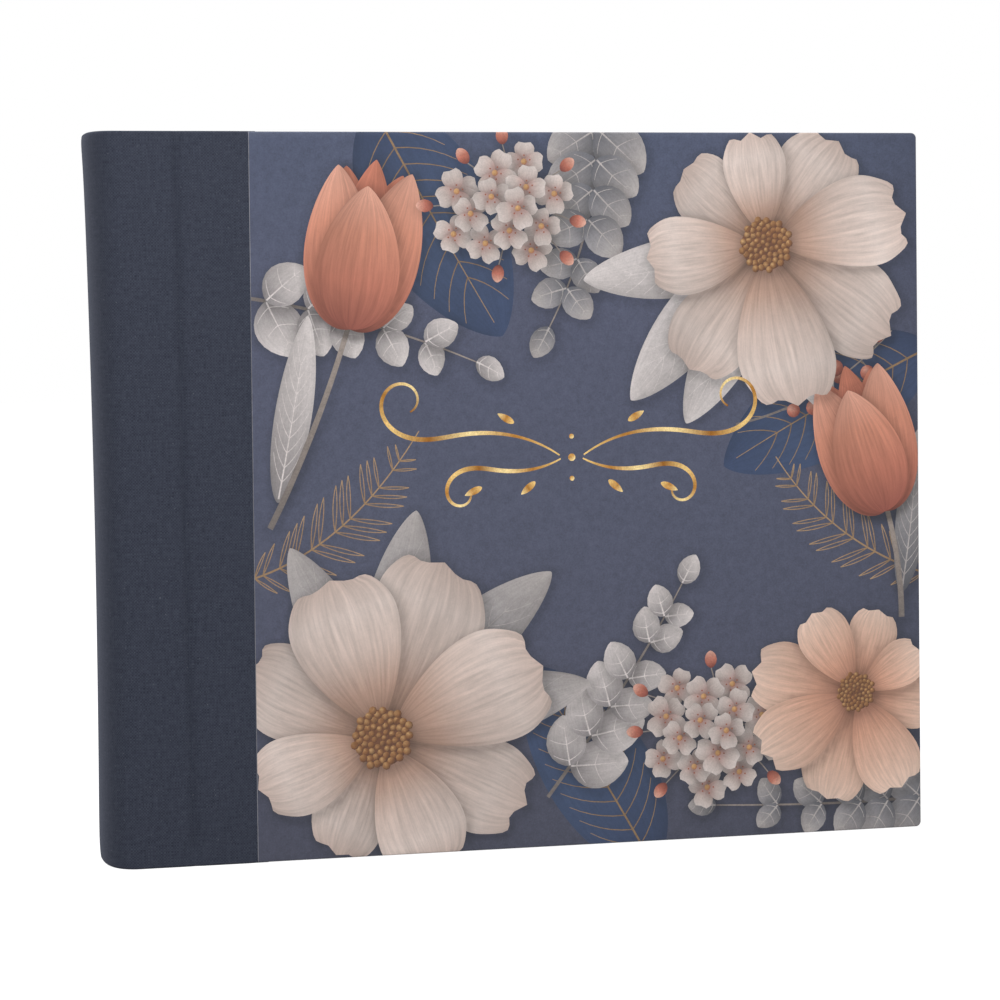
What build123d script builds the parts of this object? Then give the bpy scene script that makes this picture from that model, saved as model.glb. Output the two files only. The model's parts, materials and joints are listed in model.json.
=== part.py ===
# Address book in a quarter-cloth album binding, closed and standing on its tail edges.
# Millimetres. +X runs from the spine to the fore-edge, +Y from the front cover to the
# back cover, and +Z up. The origin is the middle of the footprint.
import os
from math import sqrt
from string import ascii_lowercase

from build123d import *

os.makedirs("parts", exist_ok=True)

# The closed book
book_width = 200.0
book_height = 170.0
book_thickness = 30.0

# Case: boards, quarter cloth, cover paper and endpapers
board_thickness = 2.5
board_corner_radius = 1.0
cloth_thickness = 0.35
paper_thickness = 0.25
endpaper_thickness = 0.2
turn_in = 4.0  # covering that shows inside, round the endpaper
crease_from_spine = 20.2
seam_from_spine = 35.3  # where the cloth ends and the cover paper begins
joint_gap = 5.0  # bare stretch of cloth between the hinge strip and the board
groove_depth = 0.5
hinge_slit = 0.3  # cut between the fixed and the swinging side of each crease
joint_lining_reach = 14.0

# Spine
spine_corner_radius = 8.0
spine_bulge = 0.4
spine_lining_thickness = 0.8
spine_hollow = 0.6  # least room between the lining and the page stubs

# Screw posts that clamp the leaves between the two hinge strips
post_count = 3
post_pitch = 55.0
barrel_radius = 2.0
head_radius = 2.9
head_thickness = 0.9
screw_radius = 1.3
screw_length = 9.0
post_slack = 0.5  # left between the barrel's end and the screw's head
post_clearance = 0.15

# Leaves: a flyleaf at each end and one section for each index card
letters_per_tab = 2
tab_depth = 8.0
tab_gap = 0.6
tab_corner_radius = 2.0
edge_square = 3.5  # how far the covers stand past the leaves and tabs
index_card_thickness = 0.35
flyleaf_thickness = 0.25
stub_overrun = 1.0  # how far the clamped stubs run past the crease
stub_gap = 0.02
leaf_slit = 0.3  # fold between a stub and its leaves
packet_clearance = 0.1
block_clearance = 0.3

FRONT = -1
BACK = 1

# Stations along X
x_spine = -book_width / 2
x_fore = book_width / 2
x_crease = x_spine + crease_from_spine
x_seam = x_spine + seam_from_spine
x_strip_start = x_spine + spine_bulge + spine_corner_radius
x_strip_end = x_crease - joint_gap / 2
x_board = x_crease + joint_gap / 2
x_fixed_edge = x_crease - hinge_slit / 2
x_swing_edge = x_crease + hinge_slit / 2
x_lining_edge = x_crease + joint_lining_reach
x_endpaper_edge = x_fore - paper_thickness - turn_in
x_post = (x_strip_start + x_strip_end) / 2
x_stub_end = x_crease + stub_overrun
x_leaf = x_stub_end + leaf_slit
x_tab_end = x_fore - edge_square
x_leaf_end = x_tab_end - tab_depth

# Layers, as depths under the outer face of either cover
board_outside = cloth_thickness
board_inside = board_outside + board_thickness
stub_outside = board_inside + cloth_thickness
leaf_outside = stub_outside + block_clearance

# Heights
board_low = cloth_thickness
board_high = book_height - cloth_thickness
endpaper_low = board_low + turn_in
endpaper_high = board_high - turn_in
leaf_low = edge_square
leaf_high = book_height - edge_square

# The stubs keep clear of the lining where it turns the corner of the spine.
stub_half = book_thickness / 2 - stub_outside
corner_inside = spine_corner_radius - cloth_thickness - spine_lining_thickness
corner_rise = stub_half - (book_thickness / 2 - spine_corner_radius)
x_stub = x_strip_start - sqrt(corner_inside**2 - corner_rise**2) + spine_hollow

INTO_BODY = (Align.CENTER, Align.CENTER, Align.MAX)


def across(depth, side):
    """Y of a layer that lies this deep under the outer face of one cover."""
    return side * (book_thickness / 2 - depth)


def layer(outside, inside, side):
    """The two Y ends of a layer between two depths under one cover's outer face."""
    return across(outside, side), across(inside, side)


def block(x_ends, y_ends, z_ends, mode=Mode.ADD):
    """A rectangular piece between three pairs of ends, for the part being built."""
    ends = (x_ends, y_ends, z_ends)
    middle = tuple(sum(pair) / 2 for pair in ends)
    extent = [abs(pair[1] - pair[0]) for pair in ends]
    with Locations(middle):
        Box(*extent, mode=mode)


def post_planes(depth, side):
    """One plane for each screw post, this deep under one cover and facing out of it."""
    first = book_height / 2 - post_pitch * (post_count - 1) / 2
    return [
        Plane(
            origin=(x_post, across(depth, side), first + post_pitch * index),
            x_dir=(1, 0, 0),
            z_dir=(0, side, 0),
        )
        for index in range(post_count)
    ]


def spine_curve(inset):
    """The round of the spine in plan, this far inside the cloth's outer face."""
    strip_front = (x_strip_start, across(inset, FRONT))
    turn_front = (x_spine + spine_bulge + inset, across(spine_corner_radius, FRONT))
    crown = (x_spine + inset, 0)
    turn_back = (x_spine + spine_bulge + inset, across(spine_corner_radius, BACK))
    strip_back = (x_strip_start, across(inset, BACK))
    TangentArc(strip_front, turn_front, tangent=(-1, 0))
    ThreePointArc(turn_front, crown, turn_back)
    TangentArc(turn_back, strip_back, tangent=(0, 1))


def crease_web(x_from, x_to, side):
    """Plan of the cloth that dips into the groove between a board's edge and the crease."""
    Polyline(
        (x_from, across(0, side)),
        (x_to, across(groove_depth, side)),
        (x_to, across(groove_depth + cloth_thickness, side)),
        (x_from, across(cloth_thickness, side)),
        close=True,
    )


def keep(piece, label):
    """Label a finished piece and write it."""
    piece.part.label = label
    export_step(piece.part, f"parts/{label}.step")


# Spine lining: a flexible card bent round the spine between the two hinge strips.
with BuildPart() as spine_lining:
    with BuildSketch(Plane.XY.offset(board_low)):
        with BuildLine():
            spine_curve(cloth_thickness)
            spine_curve(cloth_thickness + spine_lining_thickness)
            for cover_side in (FRONT, BACK):
                Line(
                    (x_strip_start, across(cloth_thickness, cover_side)),
                    (x_strip_start, across(cloth_thickness + spine_lining_thickness, cover_side)),
                )
        make_face()
    extrude(amount=board_high - board_low)
keep(spine_lining, "spine_lining")

# Spine cloth: wraps both hinge strips and the lining, and folds over their ends.
with BuildPart() as spine_cloth:
    with BuildSketch():
        with BuildLine():
            spine_curve(0)
            spine_curve(cloth_thickness + spine_lining_thickness)
            for cover_side in (FRONT, BACK):
                Polyline(
                    (x_strip_start, across(0, cover_side)),
                    (x_strip_end, across(0, cover_side)),
                    (x_strip_end, across(board_inside, cover_side)),
                    (x_strip_start, across(board_inside, cover_side)),
                    (x_strip_start, across(cloth_thickness + spine_lining_thickness, cover_side)),
                )
        make_face()
    extrude(amount=book_height)
    add(spine_lining.part, mode=Mode.SUBTRACT)
    for cover_side in (FRONT, BACK):
        strip_layer = layer(board_outside, board_inside, cover_side)
        block((x_strip_start, x_strip_end), strip_layer, (board_low, board_high), Mode.SUBTRACT)
    with BuildSketch():
        for cover_side in (FRONT, BACK):
            with BuildLine():
                crease_web(x_strip_end, x_fixed_edge, cover_side)
            make_face()
    extrude(amount=book_height)
keep(spine_cloth, "spine_cloth")

# Screw posts: barrels from the front strip, screws from the back strip.
barrel_length = book_thickness - 2 * board_outside - head_thickness - post_slack
with BuildPart() as post_barrels:
    with Locations(*post_planes(board_outside, FRONT)):
        Cylinder(head_radius, head_thickness, align=INTO_BODY)
        Cylinder(barrel_radius, barrel_length, align=INTO_BODY)
    with Locations(*post_planes(board_outside + head_thickness + post_slack, BACK)):
        Cylinder(
            screw_radius + post_clearance,
            screw_length,
            align=INTO_BODY,
            mode=Mode.SUBTRACT,
        )
keep(post_barrels, "post_barrels")

with BuildPart() as post_screws:
    with Locations(*post_planes(board_outside, BACK)):
        Cylinder(head_radius, head_thickness, align=INTO_BODY)
        Cylinder(screw_radius, head_thickness + screw_length, align=INTO_BODY)
keep(post_screws, "post_screws")


def make_hinge_strip(side):
    """Stiff board beside the spine, bored for the posts with their heads let in."""
    with BuildPart() as strip:
        strip_layer = layer(board_outside, board_inside, side)
        block((x_strip_start, x_strip_end), strip_layer, (board_low, board_high))
        with Locations(*post_planes(board_outside, side)):
            CounterBoreHole(
                barrel_radius + post_clearance, head_radius + post_clearance, head_thickness
            )
    return strip


def make_strip_lining(side):
    """Cloth lining of the joint, the half that stays on the hinge strip."""
    with BuildPart() as lining:
        lining_layer = layer(board_inside, stub_outside, side)
        block((x_strip_start, x_fixed_edge), lining_layer, (leaf_low, leaf_high))
        with Locations(*post_planes(board_inside, side)):
            Hole(barrel_radius + post_clearance)
    return lining


def make_board(side):
    """Cover board, with its two fore-edge corners eased."""
    with BuildPart() as board:
        board_layer = layer(board_outside, board_inside, side)
        block((x_board, x_fore - paper_thickness), board_layer, (board_low, board_high))
        fillet(board.edges().filter_by(Axis.Y).group_by(Axis.X)[-1], board_corner_radius)
    return board


def make_joint_cloth(side, board):
    """Quarter cloth on the board, from the crease to the seam, with its turn-ins."""
    with BuildPart() as cloth:
        block((x_board, x_seam), layer(0, stub_outside, side), (0, book_height))
        add(board.part, mode=Mode.SUBTRACT)
        inside_layer = layer(board_inside, stub_outside, side)
        block((x_board, x_seam), inside_layer, (endpaper_low, endpaper_high), Mode.SUBTRACT)
        with BuildSketch():
            with BuildLine():
                crease_web(x_board, x_swing_edge, side)
            make_face()
        extrude(amount=book_height)
    return cloth


def make_cover_paper(side, board):
    """Printed paper over the rest of the board, turned in round three edges."""
    with BuildPart() as paper:
        paper_layer = layer(board_outside - paper_thickness, board_inside + paper_thickness, side)
        paper_heights = (board_low - paper_thickness, board_high + paper_thickness)
        block((x_seam, x_fore), paper_layer, paper_heights)
        fore_corners = paper.edges().filter_by(Axis.Y).group_by(Axis.X)[-1]
        fillet(fore_corners, board_corner_radius + paper_thickness)
        add(board.part, mode=Mode.SUBTRACT)
        inside_layer = layer(board_inside, board_inside + paper_thickness, side)
        block((x_seam, x_endpaper_edge), inside_layer, (endpaper_low, endpaper_high), Mode.SUBTRACT)
    return paper


def make_board_lining(side):
    """Cloth lining of the joint, the half that swings with the board."""
    with BuildPart() as lining:
        lining_layer = layer(board_inside, stub_outside, side)
        block((x_swing_edge, x_lining_edge), lining_layer, (endpaper_low, endpaper_high))
    return lining


def make_endpaper(side):
    """Paper pasted down inside the cover, within the turn-ins."""
    with BuildPart() as endpaper:
        endpaper_layer = layer(board_inside, board_inside + endpaper_thickness, side)
        block((x_lining_edge, x_endpaper_edge), endpaper_layer, (endpaper_low, endpaper_high))
    return endpaper


def make_flyleaf(side):
    """Plain leaf at one end of the block, as wide as the index tabs."""
    with BuildPart() as flyleaf:
        leaf_layer = layer(leaf_outside, leaf_outside + flyleaf_thickness, side)
        block((x_leaf, x_tab_end), leaf_layer, (leaf_low, leaf_high))
    return flyleaf


for side_name, cover_side in (("front", FRONT), ("back", BACK)):
    cover_board = make_board(cover_side)
    keep(cover_board, f"{side_name}_board")
    keep(make_joint_cloth(cover_side, cover_board), f"{side_name}_joint_cloth")
    keep(make_cover_paper(cover_side, cover_board), f"{side_name}_cover_paper")
    keep(make_board_lining(cover_side), f"{side_name}_board_lining")
    keep(make_endpaper(cover_side), f"{side_name}_endpaper")
    keep(make_hinge_strip(cover_side), f"{side_name}_hinge_strip")
    keep(make_strip_lining(cover_side), f"{side_name}_strip_lining")
    keep(make_flyleaf(cover_side), f"{side_name}_flyleaf")

# Index sections, front to back: two letters a tab, first tab at the head.
tab_letters = [
    ascii_lowercase[start : start + letters_per_tab]
    for start in range(0, len(ascii_lowercase), letters_per_tab)
]
section_count = len(tab_letters)
block_thickness = book_thickness - 2 * leaf_outside
packet_room = block_thickness - 2 * flyleaf_thickness - packet_clearance
packet_pitch = packet_room / section_count
packet_thickness = packet_pitch - packet_clearance
tab_pitch = (leaf_high - leaf_low) / section_count
y_packets = across(leaf_outside + flyleaf_thickness, FRONT) + packet_clearance


def make_index_card(index):
    """Divider card with its tab one step lower than the tab before it."""
    y_front = y_packets + packet_pitch * index
    y_back = y_front + index_card_thickness
    tab_middle = leaf_high - tab_pitch * (index + 0.5)
    with BuildPart() as card:
        with BuildSketch(Plane.XZ.offset(-y_back)) as outline:
            with Locations(((x_leaf + x_leaf_end) / 2, (leaf_low + leaf_high) / 2)):
                Rectangle(x_leaf_end - x_leaf, leaf_high - leaf_low)
            with Locations((x_leaf_end + tab_depth / 2, tab_middle)):
                Rectangle(tab_depth, tab_pitch - tab_gap)
            fillet(outline.vertices().group_by(Axis.X)[-1], tab_corner_radius)
        extrude(amount=index_card_thickness)
    return card


def make_address_leaves(index):
    """The leaves behind one index card, as one pressed stack."""
    y_front = y_packets + packet_pitch * index
    y_leaves = (y_front + index_card_thickness, y_front + packet_thickness)
    with BuildPart() as leaves:
        block((x_leaf, x_leaf_end), y_leaves, (leaf_low, leaf_high))
    return leaves


for section, letters in enumerate(tab_letters):
    keep(make_index_card(section), f"index_card_{letters}")
    keep(make_address_leaves(section), f"address_leaves_{letters}")

# Page stubs: the punched margins of the sections, clamped by the posts.
stub_pitch = 2 * stub_half / section_count
with BuildPart() as page_stubs:
    for section in range(section_count):
        stub_front = across(stub_outside, FRONT) + stub_pitch * section + stub_gap / 2
        stub_layer = (stub_front, stub_front + stub_pitch - stub_gap)
        block((x_stub, x_stub_end), stub_layer, (leaf_low, leaf_high))
    with Locations(*post_planes(stub_outside, FRONT)):
        Hole(barrel_radius + post_clearance)
keep(page_stubs, "page_stubs")
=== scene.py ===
import json
import math
import random

import bmesh
import bpy
import numpy as np
from mathutils import Matrix, Vector
from mathutils.geometry import delaunay_2d_cdt

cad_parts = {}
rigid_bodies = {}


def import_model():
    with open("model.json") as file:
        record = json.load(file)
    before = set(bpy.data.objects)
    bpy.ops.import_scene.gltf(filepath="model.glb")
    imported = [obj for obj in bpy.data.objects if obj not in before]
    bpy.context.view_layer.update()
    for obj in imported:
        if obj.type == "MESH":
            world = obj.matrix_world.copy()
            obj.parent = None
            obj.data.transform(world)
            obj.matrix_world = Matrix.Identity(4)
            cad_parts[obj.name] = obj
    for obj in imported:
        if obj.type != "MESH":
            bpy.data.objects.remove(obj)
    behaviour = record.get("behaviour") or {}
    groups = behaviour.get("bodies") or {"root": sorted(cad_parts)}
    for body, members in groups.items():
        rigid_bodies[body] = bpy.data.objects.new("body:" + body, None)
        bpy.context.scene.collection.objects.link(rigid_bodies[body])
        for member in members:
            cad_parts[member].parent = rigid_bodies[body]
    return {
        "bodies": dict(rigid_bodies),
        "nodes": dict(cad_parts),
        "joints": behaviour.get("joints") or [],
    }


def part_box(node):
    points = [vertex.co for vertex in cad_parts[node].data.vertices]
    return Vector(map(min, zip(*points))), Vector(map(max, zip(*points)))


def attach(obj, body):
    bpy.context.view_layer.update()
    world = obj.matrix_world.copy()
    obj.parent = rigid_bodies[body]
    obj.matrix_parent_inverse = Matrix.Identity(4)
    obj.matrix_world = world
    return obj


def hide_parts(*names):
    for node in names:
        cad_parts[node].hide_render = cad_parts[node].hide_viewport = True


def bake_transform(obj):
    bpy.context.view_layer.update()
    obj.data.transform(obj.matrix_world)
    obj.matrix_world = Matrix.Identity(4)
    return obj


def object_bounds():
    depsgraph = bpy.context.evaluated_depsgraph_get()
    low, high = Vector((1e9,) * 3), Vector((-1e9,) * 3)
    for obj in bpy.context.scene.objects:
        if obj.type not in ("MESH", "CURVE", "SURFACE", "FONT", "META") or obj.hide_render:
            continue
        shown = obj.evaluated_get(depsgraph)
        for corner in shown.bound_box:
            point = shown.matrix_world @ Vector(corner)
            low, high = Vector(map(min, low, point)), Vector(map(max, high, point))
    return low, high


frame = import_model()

# Studio: the closed book stands on a plain white sweep in soft daylight. The camera is
# where the photograph was taken from: in front, to the left of the seam, a little above.
mm = 0.001
cad_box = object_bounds()
book_middle = (cad_box[0] + cad_box[1]) / 2
seam_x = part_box("front_cover_paper")[0].x
front_face_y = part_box("front_cover_paper")[0].y


def add_object(name, data):
    """A new object in the scene."""
    added = bpy.data.objects.new(name, data)
    bpy.context.scene.collection.objects.link(added)
    return added


camera_data = bpy.data.cameras.new("camera")
camera_data.lens = 108.2
camera_data.sensor_width = 36.0
camera_data.clip_end = 20.0
camera = add_object("camera", camera_data)
camera_place = Vector((seam_x - 106.3 * mm, front_face_y - 690.2 * mm, 120.6 * mm))
camera_pan = math.radians(-13.493)
camera_tilt = math.radians(-3.01)
camera_roll = math.radians(-0.83)
camera.matrix_world = (
    Matrix.Translation(camera_place)
    @ Matrix.Rotation(camera_pan, 4, "Z")
    @ Matrix.Rotation(math.radians(90) + camera_tilt, 4, "X")
    @ Matrix.Rotation(camera_roll, 4, "Z")
)
bpy.context.scene.camera = camera
bpy.context.scene.view_settings.view_transform = "Standard"


class Wire:
    """A shader socket for Python arithmetic: each operator on it adds a Math node."""

    def __init__(self, tree, socket=None):
        self.tree = tree
        self.socket = socket

    def node(self, kind, settings=None, inputs=None, output=0):
        """Add a node: its settings first, a ramp's stops among them, then its sockets' values or links."""
        added = self.tree.nodes.new(kind)
        for key, value in (settings or {}).items():
            if key == "stops":
                while len(added.color_ramp.elements) < len(value):
                    added.color_ramp.elements.new(1.0)
                for stop, (position, colour) in zip(added.color_ramp.elements, value):
                    stop.position = position
                    stop.color = colour
            else:
                setattr(added, key, value)
        for key, value in (inputs or {}).items():
            if isinstance(value, Wire):
                self.tree.links.new(value.socket, added.inputs[key])
            else:
                added.inputs[key].default_value = value
        return Wire(self.tree, added.outputs[output] if len(added.outputs) else None)

    def math(self, operation, first, second=0.0):
        """Add a Math node on two values."""
        return self.node("ShaderNodeMath", {"operation": operation}, {0: first, 1: second})

    def other(self, output):
        """Another output of the node that this wire comes from."""
        return Wire(self.tree, self.socket.node.outputs[output])

    def __add__(self, other):
        return self.math("ADD", self, other)

    def __sub__(self, other):
        return self.math("SUBTRACT", self, other)

    def __rsub__(self, other):
        return self.math("SUBTRACT", other, self)

    def __mul__(self, other):
        return self.math("MULTIPLY", self, other)

    __radd__ = __add__
    __rmul__ = __mul__

    def __gt__(self, other):
        return self.math("GREATER_THAN", self, other)

    def __lt__(self, other):
        return self.math("LESS_THAN", self, other)


def start_finish(name):
    """A new material with an empty node tree, and a wire that adds nodes to it."""
    material = bpy.data.materials.new(name)
    material.use_nodes = True
    material.node_tree.nodes.clear()
    return material, Wire(material.node_tree)


def seen_rays(wire):
    """One for a ray that looks at the surface, itself or in a reflection, and nought for light."""
    rays = wire.node("ShaderNodeLightPath", output="Is Camera Ray")
    return rays + rays.other("Is Glossy Ray") + rays.other("Is Transmission Ray")


sweep_finish, sweep = start_finish("white_sweep")
sweep_paper = sweep.node("ShaderNodeBsdfDiffuse", {}, {"Color": (0.35, 0.35, 0.35, 1)})
sweep_glow = sweep.node("ShaderNodeEmission", {}, {"Color": (1, 1, 1, 1), "Strength": 0.9})
sweep_lit = sweep.node("ShaderNodeAddShader", {}, {0: sweep_paper, 1: sweep_glow})
sweep_sides = {0: seen_rays(sweep), 1: sweep_paper, 2: sweep_lit}
sweep_seen = sweep.node("ShaderNodeMixShader", {}, sweep_sides)
sweep.node("ShaderNodeOutputMaterial", {}, {"Surface": sweep_seen})
sweep_reach = 6.0
sweep_z = -0.1 * mm
sweep_plan = ((-1, -1), (1, -1), (1, 1), (-1, 1))
sweep_corners = [(x * sweep_reach, y * sweep_reach, sweep_z) for x, y in sweep_plan]
sweep_mesh = bpy.data.meshes.new("white_sweep")
sweep_mesh.from_pydata(sweep_corners, [], [(0, 1, 2, 3)])
sweep_mesh.materials.append(sweep_finish)
sweep_floor = add_object("white_sweep", sweep_mesh)

room = bpy.data.worlds.new("room")
room.use_nodes = True
room.node_tree.nodes.clear()
air = Wire(room.node_tree)
room_light = air.node("ShaderNodeBackground", {}, {"Color": (1, 1, 1, 1), "Strength": 0.32})
room_white = air.node("ShaderNodeBackground", {}, {"Color": (1, 1, 1, 1), "Strength": 1.0})
room_mix = air.node("ShaderNodeMixShader", {}, {0: seen_rays(air), 1: room_light, 2: room_white})
air.node("ShaderNodeOutputWorld", {}, {"Surface": room_mix})
bpy.context.scene.world = room


def add_softbox(name, place, size, energy):
    """A square studio light that points at the middle of the book."""
    lamp = bpy.data.lights.new(name, "AREA")
    lamp.size = size
    lamp.energy = energy
    softbox = add_object(name, lamp)
    softbox.location = place
    softbox.rotation_euler = (book_middle - Vector(place)).to_track_quat("-Z", "Y").to_euler()


add_softbox("key_light", (-0.42, -0.62, 0.98), 0.5, 5.0)
add_softbox("top_light", (0.0, -0.42, 0.62), 0.4, 2.35)
add_softbox("fill_light", (0.5, -1.2, 0.9), 0.9, 1.8)
add_softbox("rear_light", (-0.75, 1.0, 0.9), 0.9, 6.0)


# Boards: grey binder's board, pressed from waste paper, stiffens both covers and the two
# hinge strips beside the spine. Cut edges show only in the gaps of the joints.
def noise(wire, place, scale, detail):
    """Cloudy noise over a place, from nought to one."""
    return wire.node("ShaderNodeTexNoise", {}, {"Vector": place, "Scale": scale, "Detail": detail})


def ramp(wire, share, *stops):
    """The colour at a share of the way along a ramp of stops."""
    return wire.node("ShaderNodeValToRGB", {"stops": stops}, {"Fac": share})


def principled(wire, looks):
    """End a material with a Principled surface."""
    surface = wire.node("ShaderNodeBsdfPrincipled", {}, looks)
    wire.node("ShaderNodeOutputMaterial", {}, {"Surface": surface})


def dress(nodes, material):
    """Give CAD nodes that keep their shape a finish of their own."""
    for node in nodes:
        slots = frame["nodes"][node].data.materials
        slots.clear()
        slots.append(material)


board_finish, pulp = start_finish("grey_binders_board")
pulp_place = pulp.node("ShaderNodeTexCoord", output="Object")
pulp_clumps = noise(pulp, pulp_place, 900.0, 6.0)
pulp_flecks = noise(pulp, pulp_place, 4000.0, 2.0)
pulp_tones = (0.25, (0.20, 0.185, 0.165, 1)), (0.75, (0.42, 0.395, 0.35, 1))
pulp_colour = ramp(pulp, 0.6 * pulp_clumps + 0.4 * pulp_flecks, *pulp_tones)
pulp_bumps = {"Strength": 0.4, "Distance": 0.1 * mm, "Height": pulp_flecks}
pulp_relief = pulp.node("ShaderNodeBump", {}, pulp_bumps, "Normal")
principled(pulp, {"Base Color": pulp_colour, "Roughness": 0.95, "Normal": pulp_relief})
dress(["front_board", "back_board", "front_hinge_strip", "back_hinge_strip"], board_finish)

# Screw posts: three turned aluminium barrels with their screws, let into the hinge strips
# and hidden under the cloth. They clamp the strips and the margins of the leaves together.
post_finish, turned = start_finish("turned_aluminium")
turned_rings = noise(turned, turned.node("ShaderNodeTexCoord", output="Object"), 2500.0, 3.0)
turned_colour = ramp(turned, turned_rings, (0.3, (0.55, 0.55, 0.54, 1)), (0.7, (0.80, 0.80, 0.79, 1)))
turned_gloss = 0.25 + 0.2 * turned_rings
principled(turned, {"Base Color": turned_colour, "Metallic": 1.0, "Roughness": turned_gloss})
dress(["post_barrels", "post_screws"], post_finish)

# Address leaves: thirteen sections of smooth cream leaves, ruled on both sides. Each leaf runs
# on from a punched margin that the posts clamp, and bends where the cover's crease is.
def mixed(wire, share, first, second):
    """The first colour with a share of the second in it."""
    return wire.node("ShaderNodeMix", {"data_type": "RGBA"}, {0: share, 6: first, 7: second}, 2)


leaf_finish, ruled = start_finish("ruled_paper")
page_place = ruled.node("ShaderNodeAttribute", {"attribute_name": "page"}, {}, "Vector")
page_xyz = ruled.node("ShaderNodeSeparateXYZ", {}, {0: page_place}, "X")
across, up, leaf_tone = page_xyz, page_xyz.other("Y"), page_xyz.other("Z")
rule_pitch = 9.0
rule_weight = 0.3
on_rule = ruled.math("FRACT", up * (1 / rule_pitch)) < rule_weight / rule_pitch
field_left, field_right, field_foot, field_head = 14.0, 152.0, 12.0, 148.0
in_field = (across > field_left) * (across < field_right) * (up > field_foot) * (up < field_head)
page_shade = 0.75 * leaf_tone + 0.4 * noise(ruled, page_place, 1.7, 4.0)
page_colour = ramp(ruled, page_shade, (0.2, (0.74, 0.69, 0.59, 1)), (0.9, (0.86, 0.82, 0.73, 1)))
page_ink = mixed(ruled, 0.7 * on_rule * in_field, page_colour, (0.36, 0.31, 0.28, 1))
principled(ruled, {"Base Color": page_ink, "Roughness": 0.85})


def thin_solid(name, outer, inner, faces, finish, corner_values=None):
    """Closed mesh between two equal sets of points that share their faces, rimmed at open edges."""
    count = len(outer)
    first = np.array([face[:3] for face in faces])
    spread = np.cross(outer[first[:, 1]] - outer[first[:, 0]], outer[first[:, 2]] - outer[first[:, 0]])
    corner_values = dict(corner_values or {})
    if (spread * (outer - inner)[first[:, 0]]).sum() < 0:
        faces = [tuple(reversed(face)) for face in faces]
        corner_values = {key: values[:, ::-1] for key, values in corner_values.items()}
    open_edges = {}
    for index, face in enumerate(faces):
        for corner, here in enumerate(face):
            there = face[(corner + 1) % len(face)]
            if open_edges.pop((there, here), None) is None:
                open_edges[here, there] = (index, corner)
    shell = list(faces)
    shell += [tuple(corner + count for corner in reversed(face)) for face in faces]
    shell += [(there, here, here + count, there + count) for here, there in open_edges]
    mesh = bpy.data.meshes.new(name)
    mesh.from_pydata(np.concatenate([outer, inner]).tolist(), [], shell)
    for key, values in corner_values.items():
        sides = values.shape[1]
        owner = np.array([edge[0] for edge in open_edges.values()])
        start = np.array([edge[1] for edge in open_edges.values()])
        here, there = values[owner, start], values[owner, (start + 1) % sides]
        rim = np.stack([there, here, here, there], axis=1)
        every = [values.reshape(-1, 4), values[:, ::-1].reshape(-1, 4), rim.reshape(-1, 4)]
        layer = mesh.attributes.new(key, "FLOAT_COLOR", "CORNER")
        layer.data.foreach_set("color", np.concatenate(every).astype(np.float32).ravel())
    mesh.polygons.foreach_set("use_smooth", [True] * len(mesh.polygons))
    mesh.set_sharp_from_angle(angle=math.radians(35))
    mesh.materials.append(finish)
    return add_object(name, mesh)


def grid_faces(rows, columns, start=0):
    """Quads of a grid of points that is stored row by row."""
    return [
        (here, here + 1, here + columns + 1, here + columns)
        for row in range(rows - 1)
        for here in range(start + row * columns, start + row * columns + columns - 1)
    ]


def mark(piece, name, values):
    """Store a vector at each point, alike on both sides of the sheet, for its material."""
    layer = piece.data.attributes.new(name, "FLOAT_VECTOR", "POINT")
    layer.data.foreach_set("vector", np.concatenate([values, values]).astype(np.float32).ravel())


def leaf_points(xs, y, low, high):
    """Two rows of points, along the foot and the head of an upright leaf."""
    return np.array([(x, y, z) for z in (low, high) for x in xs])


margin_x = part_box("page_stubs")[0].x
bend_length = 15 * mm
bend_start = Vector((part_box("page_stubs")[1].x - 0.5 * mm, 0, 0))
bend_end = bend_start + Vector((bend_length, 0, 0))
bend_xs = [margin_x] + list(np.linspace(bend_start.x, bend_end.x, 17))
leaves_per_section = 10
leaf_gap = 0.06
fore_edge_play, head_play = 0.15 * mm, 0.1 * mm
chance = random.Random(12)
tab_letters = [body.split("_")[1] for body in frame["bodies"] if body.startswith("section_")]
for letters in tab_letters:
    low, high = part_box("address_leaves_" + letters)
    leaf_pitch = (high.y - low.y) / leaves_per_section
    fronts, backs, faces, marks = [], [], [], []
    for order in range(leaves_per_section):
        front_y = low.y + (order + leaf_gap) * leaf_pitch
        back_y = low.y + (order + 1 - leaf_gap) * leaf_pitch
        xs = bend_xs + [high.x - chance.uniform(0, fore_edge_play)]
        foot, head = low.z + chance.uniform(0, head_play), high.z - chance.uniform(0, head_play)
        faces += grid_faces(2, len(xs), 2 * len(xs) * order)
        fronts.append(leaf_points(xs, front_y, foot, head))
        backs.append(leaf_points(xs, back_y, foot, head))
        flat = (fronts[-1] - np.array(low)) / mm
        flat[:, 1] = flat[:, 2]
        flat[:, 2] = chance.random()
        marks.append(flat)
    fronts, backs = np.concatenate(fronts), np.concatenate(backs)
    leaves = thin_solid("leaves_" + letters, fronts, backs, faces, leaf_finish)
    mark(leaves, "page", np.concatenate(marks))
    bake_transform(leaves)
    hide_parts("address_leaves_" + letters, "page_stubs")

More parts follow.
